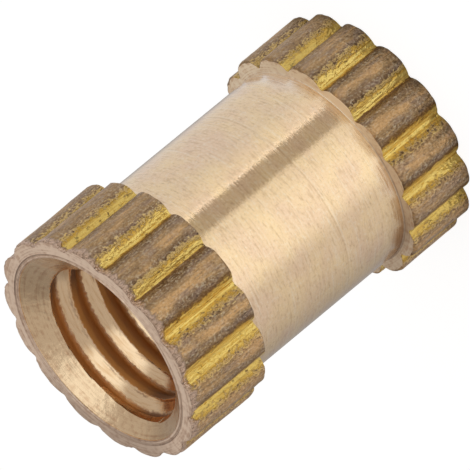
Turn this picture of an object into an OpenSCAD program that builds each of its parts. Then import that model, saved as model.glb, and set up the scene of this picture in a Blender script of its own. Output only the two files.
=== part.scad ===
// Brass threaded insert, M3 x 0.5, to be moulded or pressed into plastic.
// It is turned in one piece from straight-knurled round bar: the knurl stays on a wide band at
// the mouth end and on a narrower band at the tail end, the barrel between them is turned down
// plain, and a through hole is drilled, countersunk at both ends and tapped. The hole is drawn
// at the diameter over its thread's crests, without the fine helix.
// It stands on its tail face at Z = 0, on the Z axis, with the mouth up. Millimetres.

/* [Turned body] */
// Overall length, face to face
length = 6; // [4.5:0.1:10]
// Diameter over the crests of the knurl
knurl_d = 3.95; // [3.85:0.05:4.6]
// Diameter of the plain barrel between the two bands
barrel_d = 3.42; // [3.3:0.02:3.5]
// Width of the knurled band at the mouth end
mouth_band_w = 1.57; // [0.8:0.01:2]
// Width of the knurled band at the tail end
tail_band_w = 1.19; // [0.8:0.01:2]
// Chamfer on the teeth at the two end faces
end_chamfer = 0.04; // [0.02:0.01:0.1]
// Chamfer on the teeth at the two steps down to the barrel
step_chamfer = 0.06; // [0.02:0.01:0.1]
// Nose radius that the turning tool leaves in the barrel's two corners
corner_r = 0.06; // [0.02:0.01:0.1]

/* [Knurl] */
// Number of teeth round the bar
teeth = 16; // [12:1:20]
// Depth of a groove below the crests
groove_depth = 0.16; // [0.08:0.01:0.2]
// Width of the land at the bottom of a groove
groove_land_w = 0.05; // [0.03:0.01:0.12]

/* [Tapped hole] */
// Diameter of the hole over the crests of its thread
hole_d = 2.5; // [2.4:0.02:2.6]
// Diameter of the countersink in the mouth face
mouth_sink_d = 3.4; // [3.1:0.02:3.5]
// Diameter of the countersink in the tail face
tail_sink_d = 3.2; // [3.1:0.02:3.5]
// Included angle of both countersinks
sink_angle = 120; // [90:5:130]

/* [Hidden] */
$fn = 96;

over = 0.5;                         // how far a cutter or the bar runs past a face
clear = 0.05;                       // how far the turned envelope stands off the crests
knurl_r = knurl_d / 2;
barrel_r = barrel_d / 2;
hole_r = hole_d / 2;
groove_r = knurl_r - groove_depth;  // radius of the land at the bottom of a groove
tail_step_z = tail_band_w;          // where the plain barrel starts
mouth_step_z = length - mouth_band_w;

// A tooth is a round lobe that passes through its crest and through the near edge of the land
// on each side of it.
lobe_half_angle = 180 / teeth - asin(groove_land_w / 2 / groove_r);
lobe_centre_r = (knurl_r * knurl_r - groove_r * groove_r)
              / (2 * (knurl_r - groove_r * cos(lobe_half_angle)));
lobe_r = knurl_r - lobe_centre_r;

// Section of the knurled bar: round lobes on a round core.
module knurl_section() {
    circle(r = groove_r);
    for (i = [0 : teeth - 1])
        rotate(i * 360 / teeth) translate([lobe_centre_r, 0]) circle(r = lobe_r);
}

// The bar, a little longer than the insert at each end.
module knurled_bar() {
    translate([0, 0, -over])
        linear_extrude(height = length + 2 * over) knurl_section();
}

// Half outline of one band from z0 to z1, with the chamfers c0 and c1. It clears the crests,
// and its two slopes cross them one chamfer in from each face, so only the chamfers trim the
// teeth.
function band_path(z0, z1, c0, c1) =
    [[knurl_r - c0, z0], [knurl_r + clear, z0 + c0 + clear],
     [knurl_r + clear, z1 - c1 - clear], [knurl_r - c1, z1]];

// Round inside corner of the barrel at the step z, where dir is 1 if the barrel is above it
// and -1 if it is below. It runs from the step's face to the barrel.
function corner_path(z, dir) =
    [for (a = [0 : 15 : 90])
        [barrel_r + corner_r * (1 - sin(a)), z + dir * corner_r * (1 - cos(a))]];

function reversed(path) = [for (i = [len(path) - 1 : -1 : 0]) path[i]];

// What the lathe leaves: both bands with their chamfers, and the barrel between them.
module turned_envelope() {
    rotate_extrude()
        polygon(concat(
            [[0, 0]],
            band_path(0, tail_step_z, end_chamfer, step_chamfer),
            corner_path(tail_step_z, 1),
            reversed(corner_path(mouth_step_z, -1)),
            band_path(mouth_step_z, length, step_chamfer, end_chamfer),
            [[0, length]]));
}

// Countersink cutter of diameter d that opens upwards from the face at Z = 0.
module countersink(d) {
    slope = tan(sink_angle / 2);
    depth = (d / 2 - hole_r) / slope;
    translate([0, 0, -depth])
        cylinder(h = depth + over, r1 = hole_r, r2 = hole_r + (depth + over) * slope);
}

// Through hole with a countersink at each end.
module tapped_hole() {
    translate([0, 0, -over]) cylinder(h = length + 2 * over, r = hole_r);
    translate([0, 0, length]) countersink(mouth_sink_d);
    mirror([0, 0, 1]) countersink(tail_sink_d);
}

module insert() {
    color("burlywood")
        difference() {
            intersection() {
                knurled_bar();
                turned_envelope();
            }
            tapped_hole();
        }
}

insert();
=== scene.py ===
"""Dresses a brass threaded insert, M3 x 0.5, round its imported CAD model.

The insert is turned from straight-knurled round bar: the knurl stays on a wide band at the mouth
and on a narrower one at the tail, the barrel between them is turned down plain, and a through
hole is drilled, countersunk at both ends and tapped. It stands on its tail face at Z = 0, on the
Z axis, with the mouth up and the crest of one tooth at +X. Sizes are in millimetres until a mesh
is made, which is in metres.
"""

from __future__ import annotations

import logging
import math
from collections.abc import Callable
from dataclasses import dataclass, field
from enum import Enum
from functools import partial
from typing import NamedTuple

import bpy
import numpy as np
from bpy.types import Material, Mesh, Node, NodeSocket, NodeTree, Object, World
from mathutils import Matrix, Vector


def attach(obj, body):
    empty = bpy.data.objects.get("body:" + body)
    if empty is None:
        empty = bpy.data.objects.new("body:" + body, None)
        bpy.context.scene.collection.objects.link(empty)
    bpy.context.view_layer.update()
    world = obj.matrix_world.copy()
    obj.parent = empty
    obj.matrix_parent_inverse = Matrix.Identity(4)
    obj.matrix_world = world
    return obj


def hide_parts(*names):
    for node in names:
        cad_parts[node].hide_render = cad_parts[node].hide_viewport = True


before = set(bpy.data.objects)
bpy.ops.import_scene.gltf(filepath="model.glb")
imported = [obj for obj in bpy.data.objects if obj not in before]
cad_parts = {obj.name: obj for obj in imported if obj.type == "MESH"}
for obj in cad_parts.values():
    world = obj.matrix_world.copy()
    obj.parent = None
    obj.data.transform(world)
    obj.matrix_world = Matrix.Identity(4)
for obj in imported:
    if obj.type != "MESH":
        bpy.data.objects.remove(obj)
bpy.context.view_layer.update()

MM = 0.001  # one millimetre in metres
TURN = 2 * math.pi
RINGS = 0.25  # anisotropic rotation, in turns, of marks that run round the axis
log = logging.getLogger("insert")
Add = Callable[..., Node]  # add_node() with its tree given
Source = Node | NodeSocket  # what an input takes its value from
Ramp = tuple[tuple[float, str | float], ...]  # places, each with a colour's code or a grey level


class Zone(Enum):
    """Surfaces of the insert by how they were cut; the value is the mesh's material slot."""

    BARREL = 0
    KNURL = 1
    FACED = 2
    SUNK = 3
    THREAD = 4
    STEP = 5


def linear(code: str) -> tuple[float, float, float, float]:
    """Turns an sRGB hex colour to linear light.

    Args:
        code: Six hex digits, such as "f5d9b0".

    Returns:
        Red, green, blue and an alpha of 1.
    """
    parts = [int(code[i : i + 2], 16) / 255 for i in (0, 2, 4)]
    light = [c / 12.92 if c <= 0.04045 else ((c + 0.055) / 1.055) ** 2.4 for c in parts]
    return (*light, 1.0)


def grey(level: float) -> tuple[float, float, float, float]:
    """Returns a neutral colour of one linear level."""
    return (level, level, level, 1.0)


def towards(azimuth: float, elevation: float = 0.0) -> tuple[float, float, float]:
    """Returns the direction at an azimuth from +X and an elevation, in degrees."""
    a, e = math.radians(azimuth), math.radians(elevation)
    return (math.cos(a) * math.cos(e), math.sin(a) * math.cos(e), math.sin(e))


def add_node(tree: NodeTree, kind: str, *inputs: object, **settings: object) -> Node:
    """Adds one node to a tree, with its settings and links.

    Args:
        tree: The tree that takes the node.
        kind: The node's type, without "ShaderNode".
        *inputs: For each input in order, its value, its colour's code, or the node or socket
            that feeds it. One dict gives them by name.
        **settings: The node's own properties. "stops" is a colour ramp's, each with its place
            and its colour's code or grey level.

    Returns:
        The new node.
    """
    node = tree.nodes.new("ShaderNode" + kind)
    for name, value in settings.items():
        if name == "stops":
            elements = node.color_ramp.elements
            while len(elements) < len(value):
                elements.new(1.0)
            for element, (place, colour) in zip(elements, value):
                element.position = place
                element.color = linear(colour) if isinstance(colour, str) else grey(colour)
        else:
            setattr(node, name, value)
    named = inputs[0] if inputs and isinstance(inputs[0], dict) else dict(enumerate(inputs))
    for name, value in named.items():
        if isinstance(value, Node):
            value = value.outputs[0]
        if isinstance(value, NodeSocket):
            tree.links.new(value, node.inputs[name])
        else:
            node.inputs[name].default_value = linear(value) if isinstance(value, str) else value
    return node


def empty_tree(owner: Material | World) -> Add:
    """Gives a material or world an empty tree.

    Args:
        owner: The material or world.

    Returns:
        What adds a node to the tree.
    """
    owner.use_nodes = True
    owner.node_tree.nodes.clear()
    return partial(add_node, owner.node_tree)


class Skin:
    """Closed skin of the insert, put together from rings of points round the axis."""

    SHARP = math.radians(38)  # an edge is sharp from this angle between its faces

    def __init__(self) -> None:
        """Starts with no points."""
        self.points: list[np.ndarray] = []
        self.count = 0
        self.faces: list[tuple[int, ...]] = []
        self.zones: list[int] = []

    def ring(self, radius: np.ndarray | float, angle: np.ndarray,
             z: np.ndarray | float) -> np.ndarray:
        """Adds points in cylindrical coordinates.

        Args:
            radius: Distance of each point from the axis, or one for all.
            angle: Angle of each point, in radians.
            z: Height of each point, or one for all.

        Returns:
            The numbers of the new points.
        """
        radius, angle, z = np.broadcast_arrays(
            np.asarray(radius, float), angle, np.asarray(z, float))
        self.points.append(np.stack([radius * np.cos(angle), radius * np.sin(angle), z], axis=-1))
        numbers = np.arange(self.count, self.count + len(angle))
        self.count += len(angle)
        return numbers

    def reach(self, ring: np.ndarray) -> np.ndarray:
        """Returns how far each point of a ring is from the axis."""
        return np.hypot(*np.concatenate(self.points)[ring, :2].T)

    def face(self, zone: Zone, *corners: int) -> None:
        """Adds one face."""
        self.faces.append(tuple(int(c) for c in corners))
        self.zones.append(zone.value)

    def join(self, rings: list[np.ndarray], zone: Zone, onward: bool = True) -> None:
        """Joins rings of as many points, each to the next, with bands of quads.

        Args:
            rings: The rings.
            zone: The surface that the bands belong to.
            onward: Whether the rings run out of the hole and down the outside, or against that.
        """
        for ring, following in zip(rings, rings[1:]):
            first, second = (ring, following) if onward else (following, ring)
            for a, b, c, d in zip(first, np.roll(first, -1), np.roll(second, -1), second):
                self.face(zone, a, d, c, b)

    def lace(self, first: np.ndarray, angles: np.ndarray, second: np.ndarray, others: np.ndarray,
             zone: Zone) -> None:
        """Joins two rings of different numbers of points with triangles.

        Args:
            first: The ring that comes first on the way out of the hole and down the outside.
            angles: Its points' angles, rising through less than one turn.
            second: The ring that comes next.
            others: The angles of that ring's points.
            zone: The surface that the band belongs to.
        """
        n, m = len(first), len(second)
        i = j = 0
        while i < n or j < m:
            ahead = angles[i + 1] if i + 1 < n else angles[0] + TURN
            across = others[j + 1] if j + 1 < m else others[0] + TURN
            if j == m or (i < n and ahead <= across):
                self.face(zone, first[i % n], second[j % m], first[(i + 1) % n])
                i += 1
            else:
                self.face(zone, first[i % n], second[j % m], second[(j + 1) % m])
                j += 1

    def ladder(self, left: list[int], right: list[int], zone: Zone, up: bool) -> None:
        """Fills the gap between two chains of points side by side.

        Args:
            left: Numbers of the points of the chain at the lower angle.
            right: Numbers of the points of the other one.
            zone: The surface that the faces belong to.
            up: Whether the chains run upwards.
        """
        while len(left) > 1 or len(right) > 1:
            n, m = len(left), len(right)  # the longer chain moves on, or both do
            after = (right[1:2] if m >= n else []) + (left[1:2] if n >= m else [])
            corners = (left[0], right[0], *after)
            self.face(zone, *(corners[::-1] if up else corners))
            left, right = left[n >= m :], right[m >= n :]

    def mesh(self, name: str) -> Mesh:
        """Makes the mesh, in metres, with a material slot for each zone.

        Args:
            name: Name of the mesh.

        Returns:
            The mesh, smooth but for its sharp edges.
        """
        mesh = bpy.data.meshes.new(name)
        mesh.from_pydata(np.concatenate(self.points) * MM, [], self.faces)
        mesh.polygons.foreach_set("material_index", self.zones)
        mesh.validate()
        mesh.shade_smooth()
        mesh.set_sharp_from_angle(angle=self.SHARP)
        return mesh


@dataclass
class Unevenness:
    """Smooth seeded noise over the outside of the bar, on a grid of cells."""

    seed: int
    cells_round: int
    cells_high: int
    length: float

    def __post_init__(self) -> None:
        """Draws the grid of random heights."""
        draw = np.random.default_rng(self.seed)
        self.grid = draw.uniform(-1, 1, (self.cells_round, self.cells_high + 2))

    def at(self, angle: np.ndarray, z: np.ndarray | float) -> np.ndarray:
        """Reads the noise.

        Args:
            angle: Angles round the axis, in radians.
            z: Height of each point, or one for all.

        Returns:
            Values from -1 to 1.
        """
        u = (angle / TURN % 1) * self.cells_round
        v = np.clip(np.asarray(z, float) / self.length, 0, 1) * self.cells_high
        i, j = np.floor(u).astype(int), np.floor(v).astype(int)
        fu, fv = u - i, v - j
        fu, fv = fu * fu * (3 - 2 * fu), fv * fv * (3 - 2 * fv)
        i, k = i % self.cells_round, (i + 1) % self.cells_round
        low = self.grid[i, j] * (1 - fu) + self.grid[k, j] * fu
        high = self.grid[i, j + 1] * (1 - fu) + self.grid[k, j + 1] * fu
        return low * (1 - fv) + high * fv


@dataclass
class KnurledBar:
    """Straight-knurled bar that the insert is turned from."""

    length: float = 6.0
    crest_d: float = 3.95
    teeth: int = 16
    groove_depth: float = 0.16
    land_w: float = 0.05
    lobe_steps: int = 22  # columns of the mesh on one tooth
    wave: float = 0.006  # how far the rolled teeth are from even
    sunk: float = 0.8  # how deep their middle lies, in waves
    deepest: float = 2.0  # how deep they may lie, in waves
    grain_share: float = 0.35  # of the fine grain, beside the waves
    inset: float = 0.0004  # keeps the highest crests inside the drawn bar
    angles: np.ndarray = field(init=False)
    section: np.ndarray = field(init=False)

    def __post_init__(self) -> None:
        """Works out the columns round the bar and the bar's radius at each."""
        crest_r = self.crest_d / 2
        groove_r = crest_r - self.groove_depth
        pitch = TURN / self.teeth
        half = pitch / 2 - math.asin(self.land_w / 2 / groove_r)
        centre_r = (crest_r**2 - groove_r**2) / (2 * (crest_r - groove_r * math.cos(half)))
        lobe_r = crest_r - centre_r
        end = math.atan2(groove_r * math.sin(half), groove_r * math.cos(half) - centre_r)
        turn = np.linspace(-end, end, self.lobe_steps + 1)
        x, y = centre_r + lobe_r * np.cos(turn), lobe_r * np.sin(turn)
        tooth = np.append(np.arctan2(y, x), pitch / 2)
        radii = np.append(np.hypot(x, y), groove_r)
        self.angles = np.concatenate([tooth + i * pitch for i in range(self.teeth)])
        self.section = np.tile(radii, self.teeth)
        self.rolled = Unevenness(
            seed=11, cells_round=self.teeth * 2, cells_high=9, length=self.length)
        self.grain = Unevenness(
            seed=12, cells_round=self.teeth * 12, cells_high=60, length=self.length)

    def radius(self, z: float) -> np.ndarray:
        """Works out the bar's radius, which is never above the drawn one.

        Args:
            z: The height.

        Returns:
            The radius at every column.
        """
        depth = (self.crest_d / 2 - self.section) / self.groove_depth
        grain = self.grain_share * (1 + depth) * self.grain.at(self.angles, z)
        waves = np.clip(self.sunk + (self.rolled.at(self.angles, z) + grain), 0, self.deepest)
        return self.section - self.inset - self.wave * waves


@dataclass
class Band:
    """One knurled band, from its upper face to its lower one."""

    top: float
    bottom: float
    top_chamfer: float
    bottom_chamfer: float
    rows: int
    burr: float = 0.0  # how far the burr at the upper face closes the grooves, from 0 to 1
    burr_height: float = 0.1
    burr_rows: int = 4
    burr_uneven: float = 0.5  # how uneven the burr is
    least: float = 0.014  # smallest chamfer, in the grooves
    chipping: float = 0.3  # how uneven the chamfers are
    corner_steps: int = 3
    corner_depth: float = 0.9  # how far a rounded corner goes inwards, in chamfers
    wear: float = 0.0  # how much lower the teeth are at the upper face, on one side
    wear_at: float = 140.0  # where that side is, in degrees

    def radius(self, bar: KnurledBar, z: float) -> np.ndarray:
        """Works out the band's radius, burr and wear and all.

        Args:
            bar: The bar that the band is cut from.
            z: The height.

        Returns:
            The radius at every column of the bar.
        """
        crest_r = bar.crest_d / 2
        near = max(0.0, 1 - (self.top - z) / self.burr_height)
        near *= near * (3 - 2 * near)
        side = np.clip(np.cos(bar.angles - math.radians(self.wear_at)), 0, None)
        plain = bar.radius(z)
        worn = self.wear * near * side * (plain - crest_r + bar.groove_depth)
        plain = plain - worn / bar.groove_depth
        closed = self.burr * near * (1 + self.burr_uneven * bar.grain.at(bar.angles, z))
        return plain + (crest_r - plain) * closed * (plain < crest_r - self.top_chamfer)

    def rings(self, skin: Skin, bar: KnurledBar) -> list[np.ndarray]:
        """Builds the band's rounded corners and its flanks.

        Args:
            skin: The skin that takes the points.
            bar: The bar that the band is cut from.

        Returns:
            The rings, from the edge of the upper face to the edge of the lower face.
        """
        turns = np.linspace(0, math.pi / 2, self.corner_steps + 1)
        ends, corners = [], []
        for z, chamfer, into in ((self.top, self.top_chamfer, -1),
                                 (self.bottom, self.bottom_chamfer, 1)):
            outer = self.radius(bar, z)
            cut = np.maximum(outer - (bar.crest_d / 2 - chamfer), self.least)
            cut = cut * (1 + self.chipping * bar.grain.at(bar.angles, z))
            ends.append(z + into * cut)
            corners.append([(outer - cut * (1 - math.sin(t)) * self.corner_depth,
                             z + into * cut * (1 - math.cos(t))) for t in turns])
        dense = np.linspace(0, self.burr_height / (self.top - self.bottom), self.burr_rows + 1)
        shares = np.append(dense[1:], np.linspace(dense[-1], 1, self.rows + 2)[1:-1])
        flank = [(self.radius(bar, self.top + (self.bottom - self.top) * share),
                  ends[0] + (ends[1] - ends[0]) * share) for share in shares]
        path = [*corners[0], *flank, *corners[1][::-1]]
        return [skin.ring(radius, bar.angles, z) for radius, z in path]


@dataclass
class Barrel:
    """Plain turned barrel between the bands, with the steps at its two ends."""

    diameter: float = 3.42
    top: float = 4.43
    bottom: float = 1.19
    corner_r: float = 0.02
    corner_steps: int = 4
    rows: int = 26
    step_rows: int = 3
    lines: tuple[float, ...] = (2.39,)  # heights of the fine lines that the tool left
    line_w: float = 0.014
    line_depth: float = 0.0015

    def rings(self, skin: Skin, angles: np.ndarray) -> list[np.ndarray]:
        """Builds the barrel's corners and its wall.

        Args:
            skin: The skin that takes the points.
            angles: Angles of the columns.

        Returns:
            The rings, from the foot of the upper step to the foot of the lower one.
        """
        r, c = self.diameter / 2, self.corner_r
        turns = np.linspace(0, math.pi / 2, self.corner_steps + 1)
        path, last = ([(r + c * (1 - math.sin(t)), end + into * c * (1 - math.cos(t)))
                       for t in turns] for end, into in ((self.top, -1), (self.bottom, 1)))
        ends = [self.top - c, *(z + side * self.line_w for z in self.lines for side in (1, -1)),
                self.bottom + c]
        for k, (high, low) in enumerate(zip(ends, ends[1:])):
            if k % 2:
                path.append((r - self.line_depth, (high + low) / 2))
            else:
                count = max(2, round(self.rows * (high - low) / (self.top - self.bottom)))
                path += [(r, z) for z in np.linspace(high, low, count + 1)[(0 if k else 1) :]]
        return [skin.ring(radius, angles, z) for radius, z in path[:-1] + last[::-1]]


@dataclass
class ThreadForm:
    """Form of the tapped thread, right-handed, with its crests and roots slightly rounded."""

    pitch: float = 0.5
    crest_d: float = 2.5
    root_d: float = 2.86  # a worn tap cut it shallow, with open flanks
    crest_flat: float = 0.1
    root_flat: float = 0.03
    crest_round: tuple[float, float] = (0.03, 0.05)  # reach up to the sharp form's corner and on
    root_round: float = 0.03  # reach up to the root's corner; it ends in the middle of the root
    corner_steps: int = 4
    start: float = 0.187  # height of a crest's middle at angle 0

    def half(self) -> tuple[np.ndarray, np.ndarray]:
        """Draws half of one thread, from the middle of its crest to the middle of the root.

        Returns:
            Distances along the axis, and the radius at each.
        """
        crest_r, root_r = self.crest_d / 2, self.root_d / 2
        knee = np.array([self.crest_flat / 2, crest_r])
        toe = np.array([self.pitch / 2 - self.root_flat / 2, root_r])
        flank = (toe - knee) / np.linalg.norm(toe - knee)
        along = np.array([1.0, 0.0])
        points = [np.array([0.0, crest_r])]
        for corner, before, after, (near, past) in (
            (knee, along, flank, self.crest_round),
            (toe, flank, along, (self.root_round, self.root_flat / 2)),
        ):
            for u in np.linspace(0, 1, self.corner_steps + 1):
                a, b = corner - before * near, corner + after * past
                points.append((1 - u) ** 2 * a + 2 * u * (1 - u) * corner + u * u * b)
        half = np.array(points)
        return half[:, 0], half[:, 1]

    def offsets(self) -> np.ndarray:
        """Returns where the mesh's rows lie within one pitch, from the middle of a crest."""
        along, _ = self.half()
        return np.concatenate([along, self.pitch - along[-2:0:-1]])

    def radius(self, angle: np.ndarray | float, z: np.ndarray | float) -> np.ndarray:
        """Works out the thread's radius.

        Args:
            angle: Angle of each point, in radians, or one for all.
            z: Height of each point, or one for all.

        Returns:
            The radius at each.
        """
        along, radii = self.half()
        place = (z - self.start - self.pitch * angle / TURN) % self.pitch
        return np.interp(np.minimum(place, self.pitch - place), along, radii)


@dataclass
class TappedHole:
    """Through hole: a countersink at each end, and the thread between them."""

    length: float = 6.0
    mouth_d: float = 3.4
    tail_d: float = 3.2
    sink_angle: float = 120.0
    lip: float = 0.012  # rounding of the tail countersink's edge
    lip_middle: tuple[float, float] = (0.5, 0.3)  # inwards and upwards, in roundings
    bead_r: float = 1.672  # bead that the countersink leaves round the mouth
    bead_w: float = 0.056
    bead_height: float = 0.014
    bead_steps: int = 8
    moat_w: float = 0.03  # fine groove outside the bead
    moat_depth: float = 0.014
    torn: float = 0.016  # how far the tap tore the mouth cone's lower edge
    torn_height: float = 0.1  # how far down from the cone's end the tears grow
    clear: float = 0.01  # how far outside the thread's roots the cones end
    gap: float = 0.006  # least height between the thread's rows and the cones' ends
    columns: int = 144
    cone_rows: int = 6
    thread: ThreadForm = field(default_factory=ThreadForm)

    def __post_init__(self) -> None:
        """Works out the angles of the columns and the heights where the cones end."""
        self.angles = np.arange(self.columns) * TURN / self.columns
        self.slope = math.tan(math.radians(self.sink_angle / 2))
        root_r = self.thread.root_d / 2 + self.clear
        self.high = self.length - (self.mouth_d / 2 - root_r) / self.slope
        self.low = (self.tail_d / 2 - root_r) / self.slope
        self.tears = Unevenness(
            seed=13, cells_round=self.columns // 2, cells_high=1, length=self.length)

    def radius(self, angle: np.ndarray | float, z: np.ndarray | float) -> np.ndarray:
        """Works out the hole's radius: that of the thread, or of a cone where it is wider.

        Args:
            angle: Angle of each point, in radians, or one for all.
            z: Height of each point, or one for all.

        Returns:
            The radius at each.
        """
        torn = self.torn * np.clip((self.high - z) / self.torn_height, 0, 1)
        torn = torn * self.tears.at(np.asarray(angle, float), 0.0)
        mouth = self.mouth_d / 2 - (self.length - z) * self.slope + torn
        tail = self.tail_d / 2 - z * self.slope
        return np.maximum(self.thread.radius(angle, z), np.maximum(mouth, tail))

    def on_cone(self, angle: float, z: np.ndarray) -> np.ndarray:
        """Tells which points of the hole lie on a countersink rather than on the thread."""
        return self.radius(angle, z) > self.thread.radius(angle, z)

    def cone(self, skin: Skin, diameter: float, face: float, end: float) -> list[np.ndarray]:
        """Builds one countersink.

        Args:
            skin: The skin that takes the points.
            diameter: Its diameter in the face.
            face: Height of the face.
            end: Height where the thread takes over.

        Returns:
            The rings, from the thread to the face.
        """
        r, sign = diameter / 2, 1 if face > end else -1
        inner = self.bead_r - self.bead_w / 2 if sign > 0 else r - self.lip * self.slope
        heights = np.linspace(end, face - sign * (r - inner) / self.slope, self.cone_rows)
        path = [(r - abs(face - z) * self.slope, z) for z in heights]
        if sign > 0:
            foot = (r - inner) / self.slope
            for t in np.linspace(0, math.pi, self.bead_steps + 1)[1:]:
                drop = foot if t < math.pi / 2 else self.bead_height
                path.append((self.bead_r - self.bead_w / 2 * math.cos(t),
                             face - drop * (1 - math.sin(t))))
            outer = self.bead_r + self.bead_w / 2
            path += [(outer + self.moat_w / 2, face - self.moat_depth),
                     (outer + self.moat_w, face)]
        else:
            inwards, upwards = self.lip_middle
            path += [(r - self.lip * inwards, face + self.lip * upwards), (r + self.lip, face)]
        return [skin.ring(radius, self.angles, z) for radius, z in path]

    def wind(self, skin: Skin, bottom: np.ndarray, top: np.ndarray) -> None:
        """Builds the thread, whose rows climb with its helix, between two level rings.

        Args:
            skin: The skin that takes the points.
            bottom: The ring where the lower cone ends.
            top: The ring where the upper cone ends.
        """
        pitch, offsets = self.thread.pitch, self.thread.offsets()
        rows = len(offsets)
        chains: list[dict[int, int]] = []  # each column's points by row
        sunk: list[dict[int, bool]] = []  # whether they lie on a countersink
        for angle in self.angles:
            # The rows start a pitch below the lower cone and go on past the upper one.
            base = self.thread.start + pitch * angle / TURN
            first = (math.floor((self.low - base) / pitch) - 1) * rows
            q = np.arange(first, first + (math.ceil(self.length / pitch) + 3) * rows)
            z = base + (q // rows) * pitch + offsets[q % rows]
            kept = (self.low + self.gap < z) & (z < self.high - self.gap)
            q, z = q[kept].tolist(), z[kept]
            numbers = skin.ring(self.radius(angle, z), np.full(len(z), angle), z)
            chains.append(dict(zip(q, numbers.tolist())))
            sunk.append(dict(zip(q, self.on_cone(angle, z).tolist())))
        for i, here in enumerate(chains):
            k = (i + 1) % self.columns
            turned = 0 if k else rows  # a whole turn on, the helix is one pitch higher
            there = {q - turned: number for q, number in chains[k].items()}
            shared = sorted(set(here) & set(there))
            for q, up in zip(shared, shared[1:]):
                cut = sunk[i][q] or sunk[i][up] or sunk[k][q + turned] or sunk[k][up + turned]
                zone = Zone.SUNK if cut else Zone.THREAD
                skin.face(zone, here[up], there[up], there[q], here[q])
            for end, step, edge in ((shared[-1], 1, top), (shared[0], -1, bottom)):
                left, right = (
                    [chain[q] for q in sorted(chain, key=lambda q: q * step)
                     if (q - end) * step >= 0] + [int(edge[column])]
                    for chain, column in ((here, i), (there, k)))
                skin.ladder(left, right, Zone.SUNK, up=step > 0)


@dataclass
class Insert:
    """The whole insert: bar, bands, barrel and hole, as one closed skin."""

    bar: KnurledBar = field(default_factory=KnurledBar)
    mouth_band: Band = field(default_factory=lambda: Band(
        top=6.0, bottom=4.43, top_chamfer=0.04, bottom_chamfer=0.06, rows=42, burr=0.3,
        wear=0.045))
    barrel: Barrel = field(default_factory=Barrel)
    tail_band: Band = field(default_factory=lambda: Band(
        top=1.19, bottom=0.0, top_chamfer=0.06, bottom_chamfer=0.04, rows=34))
    hole: TappedHole = field(default_factory=TappedHole)
    face_start: float = 1.76  # radius of the first ring of the mouth face
    face_margin: float = 0.05  # from the tail countersink to the first ring of the tail face
    face_rows: int = 2

    def level(self, skin: Skin, inner: np.ndarray | float, outer: np.ndarray, z: float,
              rows: int) -> list[np.ndarray]:
        """Builds rings on a flat face, between two radii.

        Args:
            skin: The skin that takes the points.
            inner: Radius of the inner edge at each column of the bar, or one for all.
            outer: Radius of the outer edge at each column.
            z: Height of the face.
            rows: How many rings.

        Returns:
            The rings, from the inside out, without the two edges.
        """
        shares = np.linspace(0, 1, rows + 2)[1:-1]
        return [skin.ring(inner + (outer - inner) * s, self.bar.angles, z) for s in shares]

    def build(self) -> Object:
        """Builds the skin and makes it an object.

        Returns:
            The insert, in the scene.
        """
        skin, hole, barrel = Skin(), self.hole, self.barrel
        angles, length = self.bar.angles, self.bar.length
        mouth = hole.cone(skin, hole.mouth_d, length, hole.high)
        tail = hole.cone(skin, hole.tail_d, 0.0, hole.low)
        hole.wind(skin, tail[0], mouth[0])
        skin.join(mouth[: hole.cone_rows + 1], Zone.SUNK)
        skin.join(mouth[hole.cone_rows :], Zone.FACED)
        skin.join(tail, Zone.SUNK, onward=False)

        upper = self.mouth_band.rings(skin, self.bar)
        lower = self.tail_band.rings(skin, self.bar)
        middle = barrel.rings(skin, angles)
        edge = skin.reach(upper[0])
        face = [skin.ring(self.face_start, angles, length)]
        face += self.level(skin, self.face_start, edge, length, self.face_rows)
        skin.lace(mouth[-1], hole.angles, face[0], angles, Zone.FACED)
        skin.join([*face, upper[0]], Zone.FACED)
        skin.join(upper, Zone.KNURL)

        foot = np.full(len(angles), barrel.diameter / 2 + barrel.corner_r)
        for band_edge, foot_ring, z, onward in ((upper[-1], middle[0], barrel.top, False),
                                                (lower[0], middle[-1], barrel.bottom, True)):
            step = self.level(skin, foot, skin.reach(band_edge), z, barrel.step_rows)
            skin.join([foot_ring, *step, band_edge], Zone.STEP, onward)
        corner = len(middle) - barrel.corner_steps
        skin.join(middle[: corner + 1], Zone.BARREL)
        skin.join(middle[corner:], Zone.STEP)
        skin.join(lower, Zone.KNURL)

        inside = hole.tail_d / 2 + self.face_margin
        edge = skin.reach(lower[-1])
        base = [skin.ring(inside, angles, 0.0)]
        base += self.level(skin, inside, edge, 0.0, self.face_rows)
        skin.join([*base, lower[-1]], Zone.FACED, onward=False)
        skin.lace(base[0], angles, tail[-1], hole.angles, Zone.FACED)

        piece = bpy.data.objects.new("turned_insert", skin.mesh("turned_insert"))
        bpy.context.scene.collection.objects.link(piece)
        return piece

    def dress(self, piece: Object) -> None:
        """Gives the piece its finishes, one for each zone.

        Args:
            piece: The insert.
        """
        finishes = {
            Zone.BARREL: TurnedBrass(), Zone.KNURL: TarnishedKnurl(), Zone.FACED: FacedBrass(),
            Zone.SUNK: SunkBrass(), Zone.THREAD: TappedBrass(), Zone.STEP: SteppedBrass()}
        for zone in Zone:
            piece.data.materials.append(finishes[zone].material())


class Span(NamedTuple):
    """How one value gives another: two levels of the first, and what it gives at each."""

    start: float
    end: float
    at_start: float = 0.0
    at_end: float = 1.0


@dataclass(frozen=True)
class Spots:
    """Noise of about 0.5 whose spots have a real size, in millimetres."""

    wide: float  # along X and Y
    high: float  # along Z
    detail: float = 2.0  # octaves of finer noise on it
    shift: float = 0.0  # moves the pattern, so that two of them differ

    def noise(self, add: Add, place: Node) -> Node:
        """Adds the noise to a material.

        Args:
            add: Adds a node to the material's tree.
            place: The node with the place in millimetres.

        Returns:
            The node with the noise.
        """
        there = add("Mapping", {
            "Vector": place, "Location": (self.shift, self.shift, self.shift),
            "Scale": (1 / self.wide, 1 / self.wide, 1 / self.high)})
        return add("TexNoise", {"Vector": there, "Scale": 1.0, "Detail": self.detail})


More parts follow.
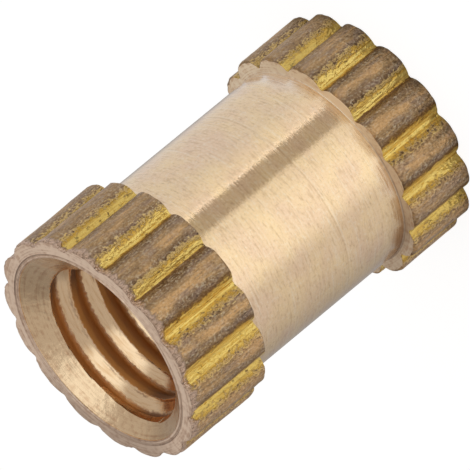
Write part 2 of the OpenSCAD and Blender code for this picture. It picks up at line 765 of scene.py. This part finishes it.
@dataclass(frozen=True)
class Stain:
    """Colour that shows where a pattern passes from one level to another."""

    colour: str
    start: float  # level of the pattern where the colour starts to show
    full: float  # level where it shows most
    share: float = 1.0  # how much it shows there

    def on(self, add: Add, pattern: Node, held: Node | None = None) -> tuple[Node, str]:
        """Adds the nodes that say how much of the colour shows.

        Args:
            add: Adds a node to the material's tree.
            pattern: The node with the pattern.
            held: A node whose value, from 0 to 1, holds the colour back.

        Returns:
            The node with the share, and the colour, as layered() takes them.
        """
        shown = add("MapRange", pattern, self.start, self.full, 0.0, self.share)
        if held is not None:
            shown = add("Math", shown, held, operation="MULTIPLY")
        return shown, self.colour


@dataclass(frozen=True)
class Side:
    """One side of the insert, seen from above, and a share that changes towards it."""

    azimuth: float  # of its middle, in degrees
    start: float  # cosine of the angle from there where the share starts to change
    full: float  # cosine of the angle where it has changed
    on: float = 1.0  # the share on this side
    off: float = 0.0  # the share elsewhere

    def share(self, add: Add, flat: Source) -> Node:
        """Adds the nodes that give the share.

        Args:
            add: Adds a node to the material's tree.
            flat: The node with the place on the floor.

        Returns:
            The node with the share.
        """
        unit = add("VectorMath", flat, operation="NORMALIZE")
        facing = add("VectorMath", unit, towards(self.azimuth), operation="DOT_PRODUCT")
        return add("MapRange", facing.outputs["Value"], self.start, self.full, self.off, self.on,
                   interpolation_type="SMOOTHSTEP")


def layered(add: Add, under: Source | str, *layers: tuple[Source, Source | str]) -> NodeSocket:
    """Lays colours over one another.

    Args:
        add: Adds a node to the material's tree.
        under: The lowest colour: its code, or the node or socket with it.
        *layers: The others from the lowest up, each with the node of its share before it.

    Returns:
        The socket with the mixed colour.
    """
    for share, over in layers:
        under = add("Mix", {"Factor": share, 6: under, 7: over}, data_type="RGBA").outputs[2]
    return under


def moved(add: Add, value: Source, *moves: tuple[Source, Span]) -> Node:
    """Adds to a value what patterns give over their spans.

    Args:
        add: Adds a node to the material's tree.
        value: The node or socket with the value.
        *moves: The node with each pattern, and its span.

    Returns:
        The node with the sum.
    """
    for pattern, span in moves:
        value = add("Math", value, add("MapRange", pattern, *span), operation="ADD")
    return value


def heaped(add: Add, value: Source, *heaps: tuple[Source, float | Source]) -> Node:
    """Adds patterns to a value, each times its share.

    Args:
        add: Adds a node to the material's tree.
        value: The node or socket with the value.
        *heaps: The node with each pattern, and its share or the node with that.

    Returns:
        The node with the sum.
    """
    for pattern, share in heaps:
        value = add("Math", pattern, share, value, operation="MULTIPLY_ADD")
    return value


@dataclass(frozen=True)
class Finish:
    """What the finishes share: how a material starts, and its places in millimetres."""

    def start(self, name: str) -> tuple[Material, Add, Node, Node]:
        """Starts a material.

        Args:
            name: Name of the material.

        Returns:
            The material, what adds a node to it, the node with the place in millimetres, and
            the node with that place's X, Y and Z.
        """
        made = bpy.data.materials.new(name)
        add = empty_tree(made)
        there = add("TexCoord").outputs["Object"]
        place = add("VectorMath", {0: there, "Scale": 1 / MM}, operation="SCALE")
        return made, add, place, add("SeparateXYZ", place)


@dataclass(frozen=True)
class TurnedBrass(Finish):
    """Free-cutting brass, turned with a fine feed: pale, its rings smear the light lengthways."""

    cream: str = "fddfb0"
    rose: str = "f6d6b2"
    score: str = "c09f78"
    bright: str = "fff0d4"
    pit: str = "a78a68"
    end_highlight: str = "fff6ea"
    end_shade: str = "96705a"
    # Feed marks are 0.034 mm apart and run a good part of the way round; the ticks are short.
    feed: Spots = Spots(0.9, 0.034, 3.0)
    ticks: Spots = Spots(0.16, 0.034, 2.0, 7.0)
    grit: Spots = Spots(0.05, 0.04, 2.0, 3.0)
    cloud: Spots = Spots(0.55, 0.45, 4.0, 5.0)
    patchy: Span = Span(0.35, 0.62, 0.4, 1.0)  # how much of a score shows, by the cloud
    tinted: Stain = Stain(rose, 0.38, 0.66)
    scored: Stain = Stain(score, 0.46, 0.28, 0.2)
    ticked: Stain = Stain(score, 0.47, 0.30, 0.32)
    # The bright colour is painted highlight: on the raised feed marks, along the ridge, and as
    # glints on the grit.
    raised: Stain = Stain(bright, 0.56, 0.74, 0.4)
    pitted: Stain = Stain(pit, 0.56, 0.76, 0.26)
    glints: Stain = Stain(bright, 0.46, 0.28, 0.4)
    line: float = 2.39  # height of the deeper tool line
    ridge: float = 0.032  # how far below it is its raised edge, which has a painted highlight
    wander: Span = Span(0.0, 1.0, -0.02, 0.02)  # how far both go up and down, by the cloud
    lined: Stain = Stain(score, 0.020, 0.008, 0.34)  # by the distance from the line
    ridged: Stain = Stain(bright, 0.018, 0.006, 0.3)  # a painted highlight, by the distance from the ridge
    dwell: Span = Span(1.55, 1.25)  # heights between which the tool slowed down
    dwell_rough: float = 0.16  # how much rougher it left the brass there
    rough: Span = Span(0.4, 0.62, 0.09, 0.18)  # by the feed marks
    highlit_end: Side = Side(5.0, 0.5, 0.95)  # where the slow end is palest, a painted highlight
    shaded_end: Side = Side(185.0, 0.5, 0.95, on=0.55)  # where it is darkest, painted shade
    ticks_high: float = 0.3  # of the feed marks' height
    grit_high: float = -0.22  # below nought, so the grit shows as pits
    marks_high: float = 0.004  # of the feed marks, in millimetres, as they catch the light
    anisotropy: float = 0.6

    def material(self) -> Material:
        """Makes the material.

        Returns:
            The material.
        """
        made, add, place, parts = self.start("turned_brass")
        feed, ticks, grit, cloud = (
            spots.noise(add, place) for spots in (self.feed, self.ticks, self.grit, self.cloud))
        flat = add("CombineXYZ", parts.outputs[0], parts.outputs[1])
        height = parts.outputs[2]
        patchy = add("MapRange", cloud, *self.patchy)
        level = moved(add, height, (cloud, self.wander))
        above = add("Math", level, self.line, operation="SUBTRACT")
        ridge = add("Math", above, self.ridge, operation="ADD")
        off_line, off_ridge = (add("Math", gap, operation="ABSOLUTE") for gap in (above, ridge))
        dwelt = add("MapRange", height, *self.dwell)
        # The slow end has a painted highlight on one side and painted shade on the other.
        ends = [
            (add("Math", side.share(add, flat), dwelt, operation="MULTIPLY"), code)
            for side, code in ((self.highlit_end, self.end_highlight), (self.shaded_end, self.end_shade))]
        colour = layered(
            add, self.cream, self.tinted.on(add, cloud), self.scored.on(add, feed, patchy),
            self.ticked.on(add, ticks), self.raised.on(add, feed),
            self.lined.on(add, off_line, patchy), self.ridged.on(add, off_ridge, patchy),
            self.pitted.on(add, grit), self.glints.on(add, grit), *ends)
        relief = heaped(add, feed, (ticks, self.ticks_high), (grit, self.grit_high))
        bump = add("Bump", {"Distance": self.marks_high * MM, "Height": relief})
        # Some rings are duller than others, and so is the barrel's end where the tool dwelt.
        rough = heaped(add, add("MapRange", feed, *self.rough), (dwelt, self.dwell_rough))
        tangent = add("Tangent", direction_type="RADIAL", axis="Z")
        metal = add("BsdfPrincipled", {
            "Base Color": colour, "Metallic": 1.0, "Roughness": rough, "Normal": bump,
            "Anisotropic": self.anisotropy, "Anisotropic Rotation": RINGS, "Tangent": tangent})
        add("OutputMaterial", metal)
        return made


@dataclass(frozen=True)
class TarnishedKnurl(Finish):
    """Drawn and rolled bar, left as it came: brown tarnish on the teeth, yellow in the grooves,
    both with painted light and shade.
    """

    teeth: int = 16
    front: float = -85.0  # azimuth of the bar's front, in degrees
    ochre: str = "ba9440"
    black: str = "4a3826"
    rosy: str = "d6b8a0"
    olive: str = "e6c47a"
    shaded_fringe: str = "86602e"
    # Oxide down a flank, from the crest: light, brown, dark and deep; the light crest is partly a
    # painted highlight and the dark flank partly painted shade.
    oxide_and_shade: Ramp = ((0.02, "d2a874"), (0.13, "ae8d63"), (0.25, "957857"), (0.36, "816547"))
    # Bare metal across a groove, from its edge: ochre, gold and lemon; the lemon middle is partly a
    # painted highlight.
    bare_metal: Ramp = ((0.31, ochre), (0.37, "d4a84a"), (0.47, "f8da7c"))
    mauve: Stain = Stain("a08a7c", 0.48, 0.66, 0.5)
    chalk: Stain = Stain("e8dabc", 0.52, 0.66, 0.52)
    soot: Stain = Stain(black, 0.46, 0.30, 0.55)
    pits: Stain = Stain(black, 0.37, 0.28, 0.6)
    shaded_yellow: Stain = Stain(ochre, 0.9, 0.55, 0.35)  # painted shade on the yellow, away from the front
    shadows: Stain = Stain("93755a", 0.47, 0.38, 0.6)  # in the rough edge at the mouth
    ragged: Spots = Spots(0.09, 0.18, 3.0)
    streak: Spots = Spots(0.14, 0.6, 4.0, 9.0)
    fine: Spots = Spots(0.035, 0.7, 2.0, 2.0)
    grain: Spots = Spots(0.032, 0.045, 2.0, 4.0)
    haze: Spots = Spots(0.10, 0.32, 3.0, 8.0)
    lumps: Spots = Spots(0.06, 0.085, 2.0, 1.0)
    lean: Spots = Spots(0.45, 4.0, 1.0, 6.0)
    # Places across a tooth are in teeth: 0 in the middle of its crest, 0.5 in the groove.
    highlight_at: float = 0.09  # where the crest was rubbed light, under a painted highlight
    creep: float = 0.10  # how far the yellow goes round on the bar's sides
    behind: Span = Span(0.965, 0.995, 0.05, 0.11)  # how far it stays back, more at the front
    streaks: Span = Span(0.25, 0.75, -0.19, 0.19)
    hairs: Span = Span(0.25, 0.75, -0.07, 0.07)
    lee_shade: float = 0.5  # how much painted shade darkens a flank in the lee
    middle: float = 0.14  # tone that the teeth tend to away from the front, where the painted light and shade fade
    spread: Span = Span(0.6, 0.92, 0.4, 1.0)  # of the tones about it, up to the front
    # How far the edge of the yellow moves: raggedly, to one side, wider towards one side of the
    # bar and choked on the other, and narrower in the lee.
    edge_ragged: Span = Span(0.25, 0.75, -0.04, 0.04)
    edge_leans: Span = Span(0.4, 0.6, -0.015, 0.015)
    edge_wider: Span = Span(0.95, -0.85, -0.03, 0.095)
    edge_choked: Span = Span(0.84, 0.97, 0.0, -0.06)
    edge_narrow: Span = Span(-0.28, 0.04, 0.085, -0.075)
    crusted: Span = Span(0.08, 0.28, 0.5, 1.0)  # how thick the grains are, from crest to groove
    flecks: Span = Span(0.3, 0.7, -1.0, 1.0)
    strewn: Span = Span(-0.12, 0.0, 0.085, 0.025)  # how far grains move the edge, by the lee
    clumped: Span = Span(-0.1, 0.02, 0.06, 0.014)  # how far lumps do
    fringe: Span = Span(0.24, 0.33, 0.0, 0.75)
    fringe_side: Span = Span(-0.04, 0.04)  # from the olive side to the one in painted shade
    yellow: Span = Span(0.34, 0.40)
    sheen: Span = Span(0.3, 0.7, -0.07, 0.07)  # how far fine streaks shift the yellow's shade
    roll: Span = Span(0.3, 0.7, -0.06, 0.06)  # how ragged the edge at the mouth is
    mouth_edge: Span = Span(5.87, 5.92)  # heights where it starts
    fine_high: float = 0.5  # of the ragged spots' height
    grain_high: Span = Span(0.0, 1.0, 0.25, 1.3)  # more in the oxide and at the mouth
    lumps_high: Span = Span(0.0, 1.0, 1.2, 4.5)  # more at the mouth
    spots_high: float = 0.024  # height of the ragged spots
    rough: Span = Span(0.0, 1.0, 0.45, 0.3)  # from the oxide to the bare metal
    metallic: float = 0.75

    def material(self) -> Material:
        """Makes the material.

        Returns:
            The material.
        """
        made, add, place, parts = self.start("tarnished_knurl")
        ragged, streak, fine, grain, haze, lumps, lean = (
            spots.noise(add, place) for spots in (
                self.ragged, self.streak, self.fine, self.grain, self.haze, self.lumps, self.lean))
        angle = add("Math", parts.outputs[1], parts.outputs[0], operation="ARCTAN2")
        turns = add("Math", angle, self.teeth / TURN, operation="MULTIPLY")
        # How far from the line that was rubbed light and has a painted highlight, a little to one
        # side of each tooth's crest.
        away = add("Math", turns, self.highlight_at, operation="SUBTRACT")
        away = add("Math", away, 0.5, operation="PINGPONG")
        # One side of the bar is the front: away from there the painted light and shade on the
        # flanks fade and the yellow gets painted shade, and the yellow creeps a little round it. A
        # flank is in the lee where it faces the front, and gets painted shade there.
        aside = add("Math", angle, math.radians(self.front), operation="SUBTRACT")
        across = add("Math", aside, operation="SINE")
        fore = add("Math", aside, operation="COSINE")
        beside = add("Math", turns, 0.5, operation="ADD")
        beside = add("Math", beside, operation="FRACT")
        beside = add("Math", beside, 0.5, operation="SUBTRACT")
        lee = add("Math", across, beside, operation="MULTIPLY")
        creep = heaped(add, turns, (across, self.creep))
        creep = add("Math", creep, add("MapRange", fore, *self.behind), operation="SUBTRACT")
        groove = add("Math", creep, 0.5, operation="PINGPONG")

        # Oxide and painted light: light where the crests were rubbed, under a painted highlight,
        # and painted shade on the flanks, in streaks along the bar.
        tone = moved(add, away, (streak, self.streaks), (fine, self.hairs))
        tone = heaped(add, tone, (lee, self.lee_shade))
        tone = add("Math", tone, self.middle, operation="SUBTRACT")
        spread = add("MapRange", fore, *self.spread)
        tone = add("Math", tone, spread, self.middle, operation="MULTIPLY_ADD")
        tooth = add("ValToRGB", tone, stops=self.oxide_and_shade)
        edge = moved(
            add, groove, (ragged, self.edge_ragged), (lean, self.edge_leans),
            (across, self.edge_wider), (across, self.edge_choked), (lee, self.edge_narrow))
        crust = add("MapRange", edge, *self.crusted)

        # Bare yellow metal in the grooves, with an olive fringe on one side and one in painted
        # shade on the other, in the lee. Across a groove it goes from ochre at its edge to lemon in
        # the middle, where it is partly a painted highlight.
        flecked = heaped(add, edge, *(
            (add("MapRange", pattern, *self.flecks), add("MapRange", lee, *span))
            for pattern, span in ((grain, self.strewn), (lumps, self.clumped))))
        fringe, yellow = (
            add("MapRange", flecked, *span, interpolation_type="SMOOTHSTEP")
            for span in (self.fringe, self.yellow))
        fringed = layered(add, self.olive, (add("MapRange", lee, *self.fringe_side), self.shaded_fringe))
        metal = add("ValToRGB", moved(add, edge, (fine, self.sheen)), stops=self.bare_metal)
        # Painted shade on the yellow, away from the front.
        metal = layered(add, metal, self.shaded_yellow.on(add, fore))

        # The rolled-over edge at the mouth is bare and rough.
        high = moved(add, parts.outputs[2], (ragged, self.roll))
        bare = add("MapRange", high, *self.mouth_edge)
        colour = layered(
            add, tooth, self.mauve.on(add, haze), self.chalk.on(add, grain, crust),
            self.soot.on(add, grain, crust), (fringe, fringed), (yellow, metal),
            self.pits.on(add, lumps, crust), (bare, self.rosy), self.shadows.on(add, grain, bare))

        coarse = add("Math", crust, bare, operation="MAXIMUM")
        coarse = add("Math", coarse, yellow, operation="SUBTRACT")
        relief = heaped(
            add, ragged, (fine, self.fine_high), (grain, add("MapRange", coarse, *self.grain_high)),
            (lumps, add("MapRange", bare, *self.lumps_high)))
        bump = add("Bump", {"Distance": self.spots_high * MM, "Height": relief})
        metal = add("BsdfPrincipled", {
            "Base Color": colour, "Metallic": self.metallic, "Normal": bump,
            "Roughness": add("MapRange", yellow, *self.rough)})
        add("OutputMaterial", metal)
        return made


@dataclass(frozen=True)
class FacedBrass(Finish):
    """Brass faced square: fine rings about the axis, dulled to a pinkish taupe."""

    name: str = "faced_brass"
    pale: str = "f4dcc5"
    dark_tone: str = "6c5446"
    dull: Stain = Stain("c8a68c", 0.95, 1.25, 0.8)
    roughness: float = 0.36
    anisotropy: float = 0.4
    metallic: float = 1.0
    rings: Spots = Spots(0.03, 0.03, 3.0)  # the tool's feed
    cloud: Spots = Spots(0.10, 0.10, 4.0, 2.0)
    swirl: float = 0.03  # how fast the rings change on their way round
    marks_high: float = 0.008
    moat_r: float = 1.715  # radius of the groove just outside the mouth's bead
    recess_shade: Stain = Stain(dark_tone, 0.0182, 0.0078, 0.48)  # painted shade in it, by the distance from its middle
    unshaded_side: Side = Side(110.0, 0.2, 0.8, on=0.1, off=1.0)  # where its painted shade is weakest
    dim: Side = Side(133.0, 0.55, 0.95, on=0.36)  # the side where it is darker
    highlit_side: Side | None = None  # a side with a painted highlight

    def material(self) -> Material:
        """Makes the material.

        Returns:
            The material.
        """
        made, add, place, parts = self.start(self.name)
        flat = add("CombineXYZ", parts.outputs[0], parts.outputs[1])
        radius = add("VectorMath", flat, operation="LENGTH").outputs["Value"]
        turned = add("VectorMath", {0: flat, "Scale": self.swirl}, operation="SCALE")
        ringed = add("VectorMath", turned, add("CombineXYZ", {2: radius}), operation="ADD")
        marks = add("Math", self.rings.noise(add, ringed), self.cloud.noise(add, place),
                    operation="ADD")
        off = add("Math", radius, self.moat_r, operation="SUBTRACT")
        off = add("Math", off, operation="ABSOLUTE")
        layers = [self.dull.on(add, marks), (self.dim.share(add, flat), self.dark_tone)]
        # A painted highlight on one side, where one is given.
        if self.highlit_side:
            layers.append((self.highlit_side.share(add, flat), self.pale))
        # Painted shade along the ring at moat_r, held back on one side.
        layers.append(self.recess_shade.on(add, off, self.unshaded_side.share(add, flat)))
        metal = add("BsdfPrincipled", {
            "Base Color": layered(add, self.pale, *layers), "Metallic": self.metallic,
            "Roughness": self.roughness, "Anisotropic": self.anisotropy,
            "Anisotropic Rotation": RINGS,
            "Tangent": add("Tangent", direction_type="RADIAL", axis="Z"),
            "Normal": add("Bump", {"Distance": self.marks_high * MM, "Height": marks})})
        add("OutputMaterial", metal)
        return made


@dataclass(frozen=True)
class SunkBrass(FacedBrass):
    """Brass cut by a countersink: the same rings, brighter and more golden."""

    name: str = "countersunk_brass"
    pale: str = "fadeb6"
    dull: Stain = Stain("d6b08a", 0.95, 1.3, 0.8)
    roughness: float = 0.22
    anisotropy: float = 0.5
    # Painted shade on one side of the cone.
    dim: Side = Side(215.0, 0.55, 0.95, on=0.3)


@dataclass(frozen=True)
class SteppedBrass(FacedBrass):
    """Brass left by the side of a parting tool: rougher, with brown painted shade in the corner."""

    name: str = "stepped_brass"
    pale: str = "ffedd0"
    dark_tone: str = "6e4a30"
    dull: Stain = Stain("dab68e", 0.95, 1.25, 0.8)
    roughness: float = 0.4
    anisotropy: float = 0.2
    metallic: float = 0.5
    moat_r: float = 1.722  # radius of the corner
    # Painted shade in the corner, none on the side at azimuth -35 degrees.
    recess_shade: Stain = Stain(dark_tone, 0.0224, 0.0096, 0.36)
    unshaded_side: Side = Side(-35.0, 0.2, 0.8, on=0.0, off=1.0)
    # Painted shade on one side of the step face.
    dim: Side = Side(170.0, -0.2, 1.0, on=0.27)
    # A painted highlight in a narrow sector, where the rings' highlight falls.
    highlit_side: Side | None = Side(-67.0, 0.975, 0.99)


@dataclass(frozen=True)
class TappedBrass(Finish):
    """Brass cut by a tap: light goes from flank to flank and comes out orange."""

    pitch: float = 0.5
    start_z: float = 0.187  # height of a crest's middle at angle 0
    pale: str = "fde0b8"
    far_band_shade: str = "e8a45a"
    deep_shade: str = "8c6446"
    marks: Spots = Spots(0.30, 0.03)  # the tap's scratches are 0.03 mm apart
    patches: Spots = Spots(0.35, 0.35, 2.0, 6.0)
    ragged: Spots = Spots(0.06, 0.06, 2.0, 5.0)
    torn: Stain = Stain("dcae78", 0.46, 0.72, 0.6)
    # Places across the thread are in pitches: 0 and 1 in the middle of a crest, 0.5 in the root,
    # and the lower ones on the upper flank.
    uneven: Span = Span(0.3, 0.7, -0.025, 0.025)
    # Painted shade, orange-brown, lies on the crests, in the roots and under the teeth.
    shaded_bands: Ramp = ((0.08, 1.0), (0.11, 0.0), (0.38, 0.0), (0.45, 1.0))
    # A fine line of painted shade runs along the flank, just behind the burr on its edge, where the
    # patches let it.
    step_shade: Ramp = ((0.125, 0.0), (0.145, 0.6), (0.165, 0.6), (0.19, 0.0))
    broken: Span = Span(0.45, 0.6)
    far_side: Side = Side(95.0, 0.45, 0.85, on=0.0, off=1.0)  # the far side, where the painted shade is lightest
    metallic: Span = Span(0.0, 1.0, 0.95, 0.1)  # from bare to the shaded bands
    rough: Span = Span(0.0, 1.0, 0.15, 0.6)
    marks_high: float = 0.003

    def material(self) -> Material:
        """Makes the material.

        Returns:
            The material.
        """
        made, add, place, parts = self.start("tapped_brass")
        marks, patches, ragged = (
            spots.noise(add, place) for spots in (self.marks, self.patches, self.ragged))
        flat = add("CombineXYZ", parts.outputs[0], parts.outputs[1])
        angle = add("Math", parts.outputs[1], parts.outputs[0], operation="ARCTAN2")
        lead = add("Math", angle, TURN, operation="DIVIDE")
        level = add("Math", parts.outputs[2], self.start_z, operation="SUBTRACT")
        level = add("Math", level, self.pitch, operation="DIVIDE")
        level = add("Math", level, lead, operation="SUBTRACT")
        level = add("Math", moved(add, level, (ragged, self.uneven)), operation="FRACT")
        shaded_bands, step_shade = (
            add("ValToRGB", level, stops=stops) for stops in (self.shaded_bands, self.step_shade))
        broken = add("MapRange", patches, *self.broken)
        # The painted shade in the bands is lighter on the far side.
        band_shade = layered(add, self.far_band_shade, (self.far_side.share(add, flat), self.deep_shade))
        colour = layered(
            add, self.pale, self.torn.on(add, marks), (shaded_bands, band_shade),
            (add("Math", step_shade, broken, operation="MULTIPLY"), self.deep_shade))
        metal = add("BsdfPrincipled", {
            "Base Color": colour, "Metallic": add("MapRange", shaded_bands, *self.metallic),
            "Roughness": add("MapRange", shaded_bands, *self.rough),
            "Normal": add("Bump", {"Distance": self.marks_high * MM, "Height": marks})})
        add("OutputMaterial", metal)
        return made


@dataclass(frozen=True)
class Card:
    """One card of the tent: where its middle is, how far it reaches, and its colour."""

    azimuth: float
    elevation: float
    full: float  # degrees from its middle to where it starts to fade
    end: float  # degrees from its middle to where it ends
    colour: str


@dataclass
class Studio:
    """Pale floor, a soft tent of light round the part, and the camera."""

    floor_half: float = 0.4  # metres
    floor_glow: float = 0.88  # the floor's own light, near white
    floor_matt: float = 0.25  # how much light it gives back, so that the insert's shadow shows
    under_r: float = 0.0022  # the floor is dark to the metal this near the axis, in metres
    azimuth: float = -85.16  # of the camera as seen from the part, from +X, in degrees
    elevation: float = 27.11
    roll: float = 129.49
    distance: float = 195.55
    aim: tuple[float, float, float] = (0.1288, -1.1995, 3.6441)
    lens: float = 1013.0
    sensor: float = 36.0
    clip: tuple[float, float] = (0.01, 2.0)  # metres
    # Tones of the tent's wall, and where they lie by azimuth from the camera, in degrees: a cool
    # panel, a dark slot, a white panel, and a side that falls off to a dim back.
    cool: str = "dadce4"
    pale: str = "ecebeb"
    white: str = "ffffff"
    slot: str = "b2aca5"
    soft: str = "d5d3d5"
    dim: str = "a09e9f"
    wall: tuple[tuple[float, str], ...] = (
        (-176, dim), (-148, cool), (-80, cool), (-50, pale), (-45, white), (-43.5, slot),
        (-22.5, slot), (-20.5, pale), (12, white), (34, white), (65, soft), (160, dim))
    eaves: Span = Span(-0.1, 0.3)  # sines of the elevations where the wall becomes the roof
    roof: str = "b9b2ae"
    cards: tuple[Card, ...] = (  # overhead, behind, and dark at one side
        Card(50.0, 78.0, 11.0, 21.0, "ffffff"),
        Card(-42.0, 57.0, 14.0, 30.0, "ffffff"),
        Card(94.84, 27.0, 9.0, 20.0, "dcd8d4"),
        Card(133.0, 22.0, 14.0, 34.0, "918b88"),
        Card(66.0, 16.0, 6.0, 26.0, "a39c98"),
    )
    strip: float = -45.6  # azimuth of a bright gap between the panels, beside the dark slot
    strip_half: float = 1.2  # half its width, in degrees
    strip_extra: float = 0.4  # its extra strength

    def build(self) -> None:
        """Builds the floor, the tent and the camera."""
        self.lay_floor()
        self.raise_tent()
        self.set_camera()

    def lay_floor(self) -> None:
        """Lays the floor, pale and faintly shaded; the metal sees it only close to the insert."""
        mesh = bpy.data.meshes.new("studio_floor")
        h = self.floor_half
        mesh.from_pydata([(-h, -h, 0), (h, -h, 0), (h, h, 0), (-h, h, 0)], [], [(0, 1, 2, 3)])
        floor = bpy.data.objects.new("studio_floor", mesh)
        bpy.context.scene.collection.objects.link(floor)
        made = bpy.data.materials.new("white_sweep")
        add = empty_tree(made)
        glow = add("Emission", {"Color": "ffffff", "Strength": self.floor_glow})
        matt = add("BsdfDiffuse", {"Color": grey(self.floor_matt)})
        away = add("VectorMath", add("TexCoord").outputs["Object"], operation="LENGTH")
        far = add("Math", away.outputs["Value"], self.under_r, operation="GREATER_THAN")
        under = add("MixShader", far, matt, add("BsdfTransparent"))
        glossy = add("LightPath").outputs["Is Glossy Ray"]
        add("OutputMaterial", add("MixShader", glossy, add("AddShader", glow, matt), under))
        mesh.materials.append(made)

    def raise_tent(self) -> None:
        """Makes the world a soft tent: panels round the part and above it, white to the camera."""
        world = bpy.data.worlds.new("soft_tent")
        bpy.context.scene.world = world
        add = empty_tree(world)
        way = add("TexCoord").outputs["Generated"]
        turned = add("VectorRotate", {
            "Vector": way, "Axis": (0, 0, 1), "Angle": math.radians(-self.azimuth)},
            rotation_type="AXIS_ANGLE")
        parts = add("SeparateXYZ", turned)
        side = add("Math", parts.outputs[1], parts.outputs[0], operation="ARCTAN2")
        share = add("MapRange", side, -math.pi, math.pi, 1.0, 0.0)
        wall = add("ValToRGB", share, stops=[((a + 180) / 360, code) for a, code in self.wall])
        wall.color_ramp.interpolation = "EASE"
        height = add("MapRange", parts.outputs[2], *self.eaves, interpolation_type="SMOOTHSTEP")
        layers = []
        for card in self.cards:
            middle = towards(card.azimuth, card.elevation)
            near = add("VectorMath", way, middle, operation="DOT_PRODUCT").outputs["Value"]
            end, full = (math.cos(math.radians(angle)) for angle in (card.end, card.full))
            lit = add("MapRange", near, end, full, interpolation_type="SMOOTHSTEP")
            layers.append((lit, card.colour))
        roof = layered(add, self.roof, *layers)
        beside = add("Math", side, math.radians(-self.strip), operation="SUBTRACT")
        beside = add("Math", beside, operation="ABSOLUTE")
        half = self.strip_half
        gap = add("MapRange", beside, math.radians(half), math.radians(half / 2), 0.0,
                  self.strip_extra)
        low = add("Math", 1.0, height, operation="SUBTRACT")
        tent = add("Background", {
            "Color": layered(add, wall, (height, roof)),
            "Strength": add("Math", gap, low, 1.0, operation="MULTIPLY_ADD")})
        white = add("Background", {"Color": "ffffff", "Strength": 1.0})
        seen = add("LightPath").outputs["Is Camera Ray"]
        add("OutputWorld", add("MixShader", seen, tent, white))

    def set_camera(self) -> None:
        """Sets the camera, a long way off on a long lens."""
        camera = bpy.data.cameras.new("camera")
        camera.lens, camera.sensor_width = self.lens, self.sensor
        camera.clip_start, camera.clip_end = self.clip
        holder = bpy.data.objects.new("camera", camera)
        bpy.context.scene.collection.objects.link(holder)
        a, roll = math.radians(self.azimuth), math.radians(self.roll)
        back = Vector(towards(self.azimuth, self.elevation))
        level = Vector((-math.sin(a), math.cos(a), 0))
        plumb = back.cross(level)
        up = plumb * math.cos(roll) + level * math.sin(roll)
        right = up.cross(back)
        turn = Matrix((right, up, back)).transposed()
        place = Vector(self.aim) * MM + back * self.distance * MM
        holder.matrix_world = Matrix.Translation(place) @ turn.to_4x4()
        bpy.context.scene.camera = holder


def main() -> None:
    """Builds the studio and the insert."""
    logging.basicConfig(level=logging.INFO, format="%(message)s")
    Studio().build()
    bpy.context.scene.view_settings.view_transform = "Standard"
    log.info("studio: floor, tent and camera")
    insert = Insert()
    piece = insert.build()
    insert.dress(piece)
    log.info("turned_insert: %d faces", len(piece.data.polygons))
    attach(piece, "root")
    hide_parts("insert")


if __name__ == "__main__":
    main()
